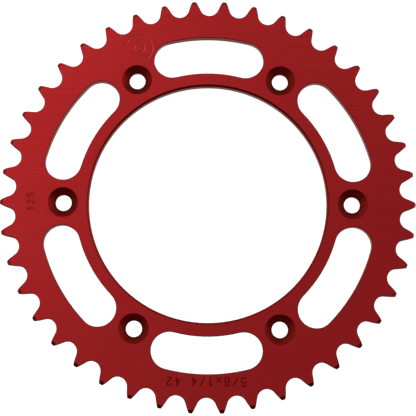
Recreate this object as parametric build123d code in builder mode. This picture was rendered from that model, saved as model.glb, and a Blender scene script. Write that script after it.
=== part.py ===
from build123d import *
from math import asin, degrees, hypot, pi, sin
import os

os.makedirs("parts", exist_ok=True)

# Rear sprocket for a 5/8 x 1/4 inch roller chain, milled from one aluminium plate. All sizes in mm.
# The origin is the centre of the hub bore on the back face, which seats on the wheel hub.
# +Z points to the front face, with the countersinks and marks. A tooth and a bolt hole lie on +X.

# Chain and teeth
chain_pitch = 15.875
roller_diameter = 10.16
tooth_count = 42
seat_clearance = 0.05  # radius of the roller seat over the roller's own
seating_angle = 132.0  # how far round the roller the seat reaches, degrees
tip_height = 3.15  # tip circle above the pitch circle
tip_corner_radius = 0.45
tip_land = 2.0  # width left on a tooth tip between its two 45 degree bevels

# Plate
plate_thickness = 5.8
edge_break = 0.3  # small 45 degree chamfer on every cut edge, front and back

# Hub seat and its bolts
bore_diameter = 125.2  # turns freely on a 125 mm hub
bore_lead_in = 1.0  # chamfer of the bore on the front face
spoke_count = 6
bolt_circle_offset = 13.4  # from the bore wall out to the bolt circle
screw_diameter = 8.0
screw_clearance = 0.5
countersink_diameter = 15.8  # the screw's head lies flush in it
countersink_angle = 90.0

# Lightening slots, one between each two spokes
inner_rim = 7.05  # ring left between the bore and the slots
outer_rim = 12.1  # ring left between the slots and the tooth roots
spoke_width = 23.9  # between the round ends of two slots, where a spoke is narrowest

# Engraved marks on the outer rim
groove_width = 0.7
groove_depth = 0.25
mark_inset = 8.2  # middle of the size marks inwards from the tooth roots
chain_mark = f"5/8x1/4 {tooth_count}"  # chain pitch and inner width in inches, then the tooth count
chain_mark_angle = -90.0
chain_mark_unit = 1.05  # half the width of a character between stroke centres
chain_mark_step = 4.25  # from one character to the next
bore_mark = f"{bore_diameter:.0f}"  # nominal hub bore
bore_mark_angle = 180.0
bore_mark_unit = 0.85
bore_mark_step = 3.6
arrow_angle = 114.0
arrow_inset = 9.9  # middle of the rotation arrow inwards from the tooth roots
arrow_radius = 7.1
arrow_start = 130.0
arrow_span = 285.0  # how much of a circle the arrow goes round
arrow_head_size = 1.6
arrow_groove_width = 1.0  # the arrow and the axle ring in it are V shaped grooves
arrow_groove_depth = 0.2
axle_ring_radius = 2.6

# Strokes of the engraved characters, each a line of points. A character is two units wide and four
# high, and the mill rounds the corners of a stroke that has more than two points.
corner_rounding = 0.75
character_strokes = {
    " ": [],
    "/": [[(-1, -2), (1, 2)]],
    "x": [[(-0.9, -1.8), (0.9, 0)], [(-0.9, 0), (0.9, -1.8)]],
    "0": [[(0, 2), (-1, 2), (-1, -2), (0, -2)], [(0, -2), (1, -2), (1, 2), (0, 2)]],
    "1": [[(-0.7, 1.2), (0.2, 2)], [(0.2, 2), (0.2, -2)]],
    "2": [[(-1, 1), (-1, 2), (1, 2), (1, 0.5), (-1, -2)], [(-1, -2), (1, -2)]],
    "3": [[(-1, 2), (0.9, 2), (0.9, 0), (-0.3, 0)], [(-0.3, 0), (1, 0), (1, -2), (-1, -2)]],
    "4": [[(0.4, -2), (0.4, 2)], [(0.4, 2), (-1, -0.8)], [(-1, -0.8), (1, -0.8)]],
    "5": [[(1, 2), (-0.9, 2)], [(-0.9, 2), (-0.9, 0.3)], [(-0.9, 0.3), (1, 0.3), (1, -2), (-1, -2)]],
    "6": [[(0.9, 2), (-1, 2), (-1, -2), (0, -2)], [(0, -2), (1, -2), (1, 0.2), (-1, 0.2)]],
    "7": [[(-1, 2), (1, 2)], [(1, 2), (-0.3, -2)]],
    "8": [
        [(0, 0), (-0.9, 0), (-0.9, 2), (0, 2)],
        [(0, 2), (0.9, 2), (0.9, 0), (0, 0)],
        [(0, 0), (1, 0), (1, -2), (0, -2)],
        [(0, -2), (-1, -2), (-1, 0), (0, 0)],
    ],
    "9": [[(-0.9, -2), (1, -2), (1, 2), (0, 2)], [(0, 2), (-1, 2), (-1, -0.2), (1, -0.2)]],
}

# Sizes that follow from the ones above
pitch_radius = chain_pitch / (2 * sin(pi / tooth_count))
seat_radius = roller_diameter / 2 + seat_clearance
flank_radius = 0.12 * roller_diameter * (tooth_count + 2)  # convex flank of the chain standard
root_radius = pitch_radius - seat_radius
tip_radius = pitch_radius + tip_height
tooth_height = tip_radius - root_radius
tooth_step = 360 / tooth_count
tip_bevel = (plate_thickness - tip_land) / 2
bore_radius = bore_diameter / 2
bolt_circle_radius = bore_radius + bolt_circle_offset
bolt_hole_radius = (screw_diameter + screw_clearance) / 2
slot_inner_radius = bore_radius + inner_rim
slot_outer_radius = root_radius - outer_rim
slot_width = slot_outer_radius - slot_inner_radius
slot_radius = slot_inner_radius + slot_width / 2
spoke_step = 360 / spoke_count
spoke_half_angle = degrees(asin((spoke_width + slot_width) / 2 / slot_radius))
slot_half_angle = spoke_step / 2 - spoke_half_angle

# The gap that is cut between two teeth, lying on +X: a round seat for the roller, then on each side
# a flank that is tangent to the seat and runs on past the tooth tips.
seat_end_angle = 180 - seating_angle / 2
flank_span = degrees(tooth_height / flank_radius)
with BuildSketch() as tooth_gap:
    with BuildLine():
        CenterArc((pitch_radius, 0), seat_radius, seat_end_angle, seating_angle)
        flank_centre = (
            PolarLine((pitch_radius, 0), seat_radius + flank_radius, seat_end_angle, mode=Mode.PRIVATE) @ 1
        )
        flank = CenterArc(flank_centre, flank_radius, seat_end_angle + 180, flank_span)
        far_flank = mirror(flank, about=Plane.XZ)
        Line(flank @ 1, far_flank @ 1)
    make_face()

# One lightening slot lying across +X, an arc with full round ends
slot_centre_line = CenterArc((0, 0), slot_radius, -slot_half_angle, 2 * slot_half_angle)
with BuildSketch() as slot:
    SlotArc(slot_centre_line, slot_width)

# Cutter for the rotation arrow and the small ring for the axle, standing in the front face at z = 0
groove_section = Polygon(
    (-arrow_groove_width / 2, 0), (0, -arrow_groove_depth), (arrow_groove_width / 2, 0), align=None
)
with BuildPart() as arrow_cutter:
    with BuildSketch(Plane.XZ):
        with Locations((arrow_radius, 0)):
            add(groove_section)
    revolve(axis=Axis.Z, revolution_arc=arrow_span)
    with BuildSketch(Plane.XZ):
        with Locations((axle_ring_radius, 0)):
            add(groove_section)
    revolve(axis=Axis.Z)
    with BuildSketch():
        with PolarLocations(arrow_radius, 1, start_angle=arrow_span):
            RegularPolygon(arrow_head_size, 3, rotation=90)
    extrude(amount=-arrow_groove_depth)


def stroke_line(points, unit, offset):
    """Centre line of one stroke, with its character moved along by an offset."""
    places = [(x * unit + offset, y * unit) for x, y in points]
    if len(places) == 2:
        return Line(*places)
    return FilletPolyline(*places, radius=corner_rounding * unit)


def mark_grooves(mark, unit, step):
    """Grooves of a mark that reads along X, with its middle at the origin."""
    lines = []
    for place, character in enumerate(mark):
        offset = (place - (len(mark) - 1) / 2) * step
        lines += [stroke_line(points, unit, offset) for points in character_strokes[character]]
    with BuildSketch() as grooves:
        for line in lines:
            SlotArc(line, groove_width)
    return grooves.sketch


chain_grooves = mark_grooves(chain_mark, chain_mark_unit, chain_mark_step)
bore_grooves = mark_grooves(bore_mark, bore_mark_unit, bore_mark_step)

with BuildPart() as sprocket:
    # Toothed plate with its slots
    with BuildSketch() as plate_outline:
        Circle(tip_radius)
        with PolarLocations(0, tooth_count, start_angle=tooth_step / 2):
            add(tooth_gap.sketch, mode=Mode.SUBTRACT)
        tip_corners = plate_outline.vertices().filter_by(
            lambda corner: hypot(corner.X, corner.Y) > pitch_radius
        )
        fillet(tip_corners, tip_corner_radius)
        with PolarLocations(0, spoke_count, start_angle=spoke_step / 2):
            add(slot.sketch, mode=Mode.SUBTRACT)
    extrude(amount=plate_thickness)
    flat_faces = sprocket.faces().filter_by(Axis.Z)
    chamfer(flat_faces.edges(), edge_break)

    # Tooth tips bevelled on both faces, as turned on a lathe
    with BuildSketch(Plane.XZ) as turned_profile:
        with Locations((0, plate_thickness / 2)):
            Rectangle(tip_radius, plate_thickness, align=(Align.MIN, Align.CENTER))
        rim_corners = turned_profile.vertices().group_by(Axis.X)[-1]
        chamfer(rim_corners, tip_bevel)
    revolve(axis=Axis.Z, mode=Mode.INTERSECT)

    # Hub bore
    Hole(bore_radius)
    bore_edges = sprocket.edges().filter_by(
        lambda edge: edge.geom_type == GeomType.CIRCLE and abs(edge.radius - bore_radius) < edge_break
    )
    chamfer(bore_edges.sort_by(Axis.Z)[-1], bore_lead_in)
    chamfer(bore_edges.sort_by(Axis.Z)[0], edge_break)

    # Bolt holes, countersunk from the front
    with Locations((0, 0, plate_thickness)):
        with PolarLocations(bolt_circle_radius, spoke_count):
            CounterSinkHole(bolt_hole_radius, countersink_diameter / 2, counter_sink_angle=countersink_angle)

    # Marks on the front, with the tops of their characters outwards
    with BuildSketch(Plane.XY.offset(plate_thickness)):
        with PolarLocations(root_radius - mark_inset, 1, start_angle=chain_mark_angle):
            add(chain_grooves, rotation=-90)
        with PolarLocations(root_radius - mark_inset, 1, start_angle=bore_mark_angle):
            add(bore_grooves, rotation=-90)
    extrude(amount=-groove_depth, mode=Mode.SUBTRACT)
    with Locations((0, 0, plate_thickness)):
        with PolarLocations(root_radius - arrow_inset, 1, start_angle=arrow_angle):
            add(arrow_cutter.part, rotation=(0, 0, arrow_start), mode=Mode.SUBTRACT)

sprocket.part.label = "sprocket"
export_step(sprocket.part, "parts/sprocket.step")
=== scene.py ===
import math

import bmesh
import bpy
from mathutils import Euler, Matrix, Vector


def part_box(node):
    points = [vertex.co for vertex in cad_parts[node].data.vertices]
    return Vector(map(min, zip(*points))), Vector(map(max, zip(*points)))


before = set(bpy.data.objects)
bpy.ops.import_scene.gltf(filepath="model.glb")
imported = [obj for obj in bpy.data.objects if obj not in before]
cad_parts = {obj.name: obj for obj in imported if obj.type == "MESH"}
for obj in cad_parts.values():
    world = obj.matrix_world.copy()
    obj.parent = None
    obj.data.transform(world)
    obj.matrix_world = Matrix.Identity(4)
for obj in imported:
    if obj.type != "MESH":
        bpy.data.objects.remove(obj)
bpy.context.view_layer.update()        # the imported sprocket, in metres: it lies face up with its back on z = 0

scene = bpy.context.scene
scene.view_settings.view_transform = "Standard"  # keeps the dyed red as saturated as it is

plateLow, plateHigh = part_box("sprocket")
frontFace = plateHigh.z
backFace = plateLow.z
plateRadius = plateHigh.x                        # a tooth lies on +X
print("frame loaded, plate", round(plateRadius * 2000, 1), "mm over the teeth")


# node helpers, so that a material reads as a list of steps

def place(tree, kind, **settings):
    node = tree.nodes.new(kind)
    for name, value in settings.items():
        setattr(node, name, value)
    return node


def feed(tree, socket, value):
    # a socket is either wired to another node or set to a plain value
    if isinstance(value, bpy.types.NodeSocket):
        tree.links.new(value, socket)
    else:
        socket.default_value = value


def calculate(tree, operation, *values):
    node = place(tree, "ShaderNodeMath", operation=operation)
    for socket, value in zip(node.inputs, values):
        feed(tree, socket, value)
    return node.outputs[0]


def rampAcross(tree, value, span, low=0.0, high=1.0):
    # low below the span, high above it, and a soft step from its start to its end
    start, end = span
    node = place(tree, "ShaderNodeMapRange", interpolation_type="SMOOTHSTEP")
    feed(tree, node.inputs["Value"], value)
    node.inputs["From Min"].default_value = start
    node.inputs["From Max"].default_value = end
    node.inputs["To Min"].default_value = low
    node.inputs["To Max"].default_value = high
    return node.outputs["Result"]


def blendValue(tree, factor, first, second):
    node = place(tree, "ShaderNodeMix", data_type="FLOAT")
    feed(tree, node.inputs["Factor"], factor)
    feed(tree, node.inputs["A"], first)
    feed(tree, node.inputs["B"], second)
    return node.outputs["Result"]


def blendColour(tree, factor, first, second):
    node = place(tree, "ShaderNodeMix", data_type="RGBA")
    feed(tree, node.inputs["Factor"], factor)
    firstSocket, secondSocket = [socket for socket in node.inputs if socket.type == "RGBA"]
    feed(tree, firstSocket, first)
    feed(tree, secondSocket, second)
    return [socket for socket in node.outputs if socket.type == "RGBA"][0]


def stretchedNoise(tree, coords, stretch, detail=2.0):
    # noise with so many cells to the metre along each axis
    mapping = place(tree, "ShaderNodeMapping")
    tree.links.new(coords, mapping.inputs["Vector"])
    mapping.inputs["Scale"].default_value = stretch
    noise = place(tree, "ShaderNodeTexNoise")
    tree.links.new(mapping.outputs["Vector"], noise.inputs["Vector"])
    noise.inputs["Scale"].default_value = 1.0
    noise.inputs["Detail"].default_value = detail
    return noise.outputs["Fac"]


# the anodised plate

plateFinish = {
    "red": (0.350, 0.0178, 0.0193, 1.0),
    "deepRed": (0.280, 0.0115, 0.0130, 1.0),       # where the dye took a little darker
    "wallRed": (0.620, 0.0420, 0.0180, 1.0),       # milled edges, browner
    "wallDeepRed": (0.300, 0.0180, 0.0080, 1.0),
    "sinkShadeRed": (0.275, 0.0150, 0.0080, 1.0),       # drilled countersinks, darker than the face as painted shade
    "sinkFootShadeRed": (0.110, 0.0050, 0.0030, 1.0),   # deeper painted shade round the hole at their foot
    "tipHighlightRed": (0.400, 0.0150, 0.0190, 1.0),        # turned bevels of the tooth tips, lighter than the face as a painted highlight
    "breakShadeRed": (0.230, 0.0100, 0.0110, 1.0),      # painted shade along the fine chamfer round every cut edge
    "grooveHighlightRed": (0.375, 0.0260, 0.0290, 1.0),     # shallow grooves of the arrow mark, lighter as a painted highlight
    "textRed": (0.145, 0.0045, 0.0055, 1.0),       # floors of the long line of figures
    "faintRed": (0.190, 0.0080, 0.0090, 1.0),      # floors of the short one
    "faceRoughness": 0.32,
    "wallRoughness": 0.22,
    "grain": (28.0, 900.0, 28.0),                  # cells to the metre along X, Y and Z
    "fineGrain": (90.0, 3200.0, 90.0),
    "cloud": (16.0, 16.0, 16.0),
    "mottle": (1400.0, 1400.0, 1400.0),
    "cutterLines": (2600.0, 2600.0, 120.0),
    "cutterSteps": (60.0, 60.0, 1500.0),
    "grainShare": 0.40,                            # of the grains and the cloud in the streaks
    "fineShare": 0.30,
    "cloudShare": 0.45,
    "dyeSpan": (0.20, 0.94),                       # of the streaks, from the one red to the other
    "cutterSpan": (0.35, 0.65),
    "wallSpan": (0.15, 0.45),                      # of a normal's upright part, 0 on a wall
    "slopeSpan": (0.80, 0.90),
    "levelFrom": 0.99,
    "grooveUpright": 0.93,
    "grooveSpread": 0.03,
    "edgeBreak": 0.00032,
    "toothBevel": 0.00195,                         # how far in from the tips the turned bevel reaches
    "sinkShadeFoot": (0.0027, 0.0036),                  # depths under the front face, over which the painted shade deepens
    "figureDepth": 0.00025,
    "figureSpread": 0.000025,
    "figuresSpan": (-0.070, -0.060),               # along X, between the short line and the long one
    "streakGloss": 0.16,
    "cutterGloss": 0.30,
    "mottleRelief": 0.6,
    "cutterRelief": 2.0,
    "reliefStrength": 0.2,
    "reliefHeight": 0.00004,
}


def anodisedPlate(name, finish):
    material = bpy.data.materials.new(name)
    material.use_nodes = True
    tree = material.node_tree
    tree.nodes.clear()
    output = place(tree, "ShaderNodeOutputMaterial")
    shader = place(tree, "ShaderNodeBsdfPrincipled")
    tree.links.new(shader.outputs["BSDF"], output.inputs["Surface"])
    coordinates = place(tree, "ShaderNodeTexCoord")
    spot = coordinates.outputs["Object"]
    spotParts = place(tree, "ShaderNodeSeparateXYZ")
    tree.links.new(spot, spotParts.inputs[0])
    normalParts = place(tree, "ShaderNodeSeparateXYZ")
    tree.links.new(coordinates.outputs["Normal"], normalParts.inputs[0])
    upright = calculate(tree, "ABSOLUTE", normalParts.outputs["Z"])
    fromFront = calculate(tree, "SUBTRACT", frontFace, spotParts.outputs["Z"])
    fromBack = calculate(tree, "SUBTRACT", spotParts.outputs["Z"], backFace)

    # flat faces: long grain from the sheet, under a slow cloudiness of the dye
    grain = stretchedNoise(tree, spot, finish["grain"], 3.0)
    fine = stretchedNoise(tree, spot, finish["fineGrain"])
    cloud = stretchedNoise(tree, spot, finish["cloud"])
    streaks = calculate(tree, "MULTIPLY", fine, finish["fineShare"])
    streaks = calculate(tree, "MULTIPLY_ADD", grain, finish["grainShare"], streaks)
    streaks = calculate(tree, "MULTIPLY_ADD", cloud, finish["cloudShare"], streaks)
    dye = rampAcross(tree, streaks, finish["dyeSpan"])
    faceColour = blendColour(tree, dye, finish["red"], finish["deepRed"])

    # walls: cutter lines run up the thickness and step across it
    lines = stretchedNoise(tree, spot, finish["cutterLines"])
    steps = stretchedNoise(tree, spot, finish["cutterSteps"])
    cutter = blendValue(tree, 0.5, lines, steps)
    cutterShade = rampAcross(tree, cutter, finish["cutterSpan"])
    wallColour = blendColour(tree, cutterShade, finish["wallDeepRed"], finish["wallRed"])
    isWall = rampAcross(tree, upright, finish["wallSpan"], 1.0, 0.0)
    isSloped = rampAcross(tree, upright, finish["slopeSpan"], 1.0, 0.0)

    # painted shade on the fine chamfers, which run along both faces, inside the bevel of the tooth tips
    fromFaces = calculate(tree, "MINIMUM", fromFront, fromBack)
    nearFace = calculate(tree, "LESS_THAN", fromFaces, finish["edgeBreak"])
    alongX = calculate(tree, "POWER", spotParts.outputs["X"], 2.0)
    alongY = calculate(tree, "POWER", spotParts.outputs["Y"], 2.0)
    fromAxle = calculate(tree, "SQRT", calculate(tree, "ADD", alongX, alongY))
    insideTips = calculate(tree, "LESS_THAN", fromAxle, plateRadius - finish["toothBevel"])
    breakShadeMask = calculate(tree, "MULTIPLY", calculate(tree, "MULTIPLY", nearFace, insideTips), isSloped)

    # painted shade: countersinks are darker towards the hole
    sinkShadeFoot = rampAcross(tree, fromFront, finish["sinkShadeFoot"])
    sinkShadeColour = blendColour(tree, sinkShadeFoot, finish["sinkShadeRed"], finish["sinkFootShadeRed"])
    bevelShadeAndHighlight = blendColour(tree, insideTips, finish["tipHighlightRed"], sinkShadeColour)

    # the grooves of the arrow mark lean only a little
    isGroove = calculate(tree, "COMPARE", upright, finish["grooveUpright"], finish["grooveSpread"])

    # flat floors of the figures, just under the front face
    isLevel = calculate(tree, "GREATER_THAN", normalParts.outputs["Z"], finish["levelFrom"])
    isUnder = calculate(tree, "COMPARE", fromFront, finish["figureDepth"], finish["figureSpread"])
    isFloor = calculate(tree, "MULTIPLY", isLevel, isUnder)
    isLongLine = rampAcross(tree, spotParts.outputs["X"], finish["figuresSpan"])
    figureColour = blendColour(tree, isLongLine, finish["faintRed"], finish["textRed"])

    # sloped faces: painted highlight on the tooth-tip bevels, painted shade in the countersinks
    colour = blendColour(tree, isSloped, faceColour, bevelShadeAndHighlight)
    # a thin line of painted shade along every cut edge
    colour = blendColour(tree, breakShadeMask, colour, finish["breakShadeRed"])
    colour = blendColour(tree, isWall, colour, wallColour)
    # the flanks of the arrow mark are lighter, as a painted highlight
    colour = blendColour(tree, isGroove, colour, finish["grooveHighlightRed"])
    colour = blendColour(tree, isFloor, colour, figureColour)
    tree.links.new(colour, shader.inputs["Base Color"])

    # sheen of the bead-blasted and sealed skin
    faceGloss = calculate(tree, "MULTIPLY_ADD", streaks, finish["streakGloss"], finish["faceRoughness"])
    wallGloss = calculate(tree, "MULTIPLY_ADD", cutter, finish["cutterGloss"], finish["wallRoughness"])
    tree.links.new(blendValue(tree, isWall, faceGloss, wallGloss), shader.inputs["Roughness"])
    shader.inputs["Metallic"].default_value = 1.0

    # the same lines as relief
    mottle = stretchedNoise(tree, spot, finish["mottle"])
    faceRelief = calculate(tree, "MULTIPLY_ADD", mottle, finish["mottleRelief"], streaks)
    wallRelief = calculate(tree, "MULTIPLY", cutter, finish["cutterRelief"])
    bump = place(tree, "ShaderNodeBump")
    bump.inputs["Strength"].default_value = finish["reliefStrength"]
    bump.inputs["Distance"].default_value = finish["reliefHeight"]
    tree.links.new(blendValue(tree, isWall, faceRelief, wallRelief), bump.inputs["Height"])
    tree.links.new(bump.outputs["Normal"], shader.inputs["Normal"])
    return material


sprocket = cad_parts["sprocket"]
plateMaterial = anodisedPlate("anodised_plate", plateFinish)
for materialSlot in sprocket.material_slots:
    materialSlot.material = plateMaterial
print("anodised finish on", len(sprocket.material_slots), "slot")


# a plain white light table, a little under the back face

tableSettings = {
    "size": 3.0,
    "drop": 0.0002,
    "white": 0.06,
    "glow": 1.15,                # lit from below, so the plate throws no shadow
}


def makeTable(settings):
    shape = bmesh.new()
    bmesh.ops.create_grid(shape, x_segments=1, y_segments=1, size=settings["size"])
    bmesh.ops.translate(shape, verts=shape.verts, vec=(0, 0, backFace - settings["drop"]))
    mesh = bpy.data.meshes.new("table")
    shape.to_mesh(mesh)
    shape.free()
    table = bpy.data.objects.new("table", mesh)
    scene.collection.objects.link(table)
    glass = bpy.data.materials.new("white_glass")
    glass.use_nodes = True
    surface = glass.node_tree.nodes["Principled BSDF"]
    white = settings["white"]
    surface.inputs["Base Color"].default_value = (white, white, white, 1.0)
    surface.inputs["Roughness"].default_value = 1.0
    surface.inputs["Specular IOR Level"].default_value = 0.0
    surface.inputs["Emission Color"].default_value = (1.0, 1.0, 1.0, 1.0)
    surface.inputs["Emission Strength"].default_value = settings["glow"]
    mesh.materials.append(glass)
    table.visible_glossy = False     # the walls of the plate stay dark beside the white


makeTable(tableSettings)
print("table made")


# soft studio light: a bright ceiling that fades towards the horizon, and one soft box

roomSettings = {
    "tint": (1.0, 0.98, 0.97, 1.0),
    "overhead": 0.98,            # brightness of the ceiling
    "overheadLeast": 0.1,
    "overheadGap": 0.02,         # of the dark patch above, where the camera hangs
    "gapTowards": (0.05, -0.10, 1.0),
    "slant": -0.70,              # the ceiling is brighter towards the left
    "sides": 0.70,               # of the far wall and the sides of the room
    "nearSide": 0.03,            # of the dark near wall
    "rightWindow": 0.35,         # added low down on the right, a little to the far side
    "windowTurn": 0.35,
    "lowSides": 0.35,            # share of the sides that goes on below the horizon
    "ground": 0.30,              # what the white table throws back from straight below
    "sideSpan": (-0.60, -0.05),  # the spans are parts of a direction of length 1
    "windowSpan": (0.70, 1.05),
    "gapSpan": (0.955, 0.995),
    "overheadSpan": (0.40, 0.90),
    "horizonSpan": (-0.15, 0.0),
    "groundSpan": (-0.95, -0.60),
}


def makeRoom(settings):
    world = bpy.data.worlds.new("studio")
    scene.world = world
    world.use_nodes = True
    tree = world.node_tree
    background = tree.nodes["Background"]
    direction = place(tree, "ShaderNodeTexCoord").outputs["Generated"]
    parts = place(tree, "ShaderNodeSeparateXYZ")
    tree.links.new(direction, parts.inputs[0])
    rightPart, farPart, upPart = parts.outputs

    # round the sides
    side = rampAcross(tree, farPart, settings["sideSpan"], settings["nearSide"], settings["sides"])
    windowPart = calculate(tree, "MULTIPLY_ADD", farPart, settings["windowTurn"], rightPart)
    window = rampAcross(tree, windowPart, settings["windowSpan"], 0.0, settings["rightWindow"])
    side = calculate(tree, "ADD", side, window)

    # the ceiling
    towardsGap = place(tree, "ShaderNodeVectorMath", operation="DOT_PRODUCT")
    tree.links.new(direction, towardsGap.inputs[0])
    towardsGap.inputs[1].default_value = Vector(settings["gapTowards"]).normalized()
    gap = rampAcross(tree, towardsGap.outputs["Value"], settings["gapSpan"])
    overhead = blendValue(tree, gap, settings["overhead"], settings["overheadGap"])
    overhead = calculate(tree, "MULTIPLY_ADD", rightPart, settings["slant"], overhead)
    overhead = calculate(tree, "MAXIMUM", overhead, settings["overheadLeast"])
    isOverhead = rampAcross(tree, upPart, settings["overheadSpan"])
    room = blendValue(tree, isOverhead, side, overhead)

    # and below the horizon
    aboveGround = rampAcross(tree, upPart, settings["horizonSpan"], settings["lowSides"], 1.0)
    room = calculate(tree, "MULTIPLY", room, aboveGround)
    ground = rampAcross(tree, upPart, settings["groundSpan"], settings["ground"], 0.0)
    tree.links.new(calculate(tree, "ADD", room, ground), background.inputs["Strength"])
    background.inputs["Color"].default_value = settings["tint"]


keySettings = {"place": (-0.75, 0.70, 1.25), "size": 0.9, "power": 7.0}


def makeSoftBox(name, settings):
    data = bpy.data.lights.new(name, "AREA")
    data.shape = "SQUARE"
    data.size = settings["size"]
    data.energy = settings["power"]
    lamp = bpy.data.objects.new(name, data)
    lamp.location = settings["place"]
    lamp.rotation_euler = (-Vector(settings["place"])).to_track_quat("-Z", "Y").to_euler()
    scene.collection.objects.link(lamp)


makeRoom(roomSettings)
makeSoftBox("key", keySettings)
print("lights made")


# the camera looks almost straight down, tipped a little from the near side

cameraSettings = {
    "tip": 7.55,                 # degrees off straight down
    "lean": -0.19,
    "roll": 0.43,
    "lens": 112.5,
    "sensor": 36.0,
    "nearest": 0.05,
    "farthest": 20.0,
    "place": (-0.00146, -0.0921, 0.6811),
}


def makeCamera(settings):
    data = bpy.data.cameras.new("camera")
    data.lens = settings["lens"]
    data.sensor_width = settings["sensor"]
    data.clip_start = settings["nearest"]
    data.clip_end = settings["farthest"]
    camera = bpy.data.objects.new("camera", data)
    camera.location = settings["place"]
    angles = [math.radians(settings[name]) for name in ("tip", "lean", "roll")]
    camera.rotation_euler = Euler(angles, "XYZ")
    scene.collection.objects.link(camera)
    scene.camera = camera


makeCamera(cameraSettings)
print("camera made")
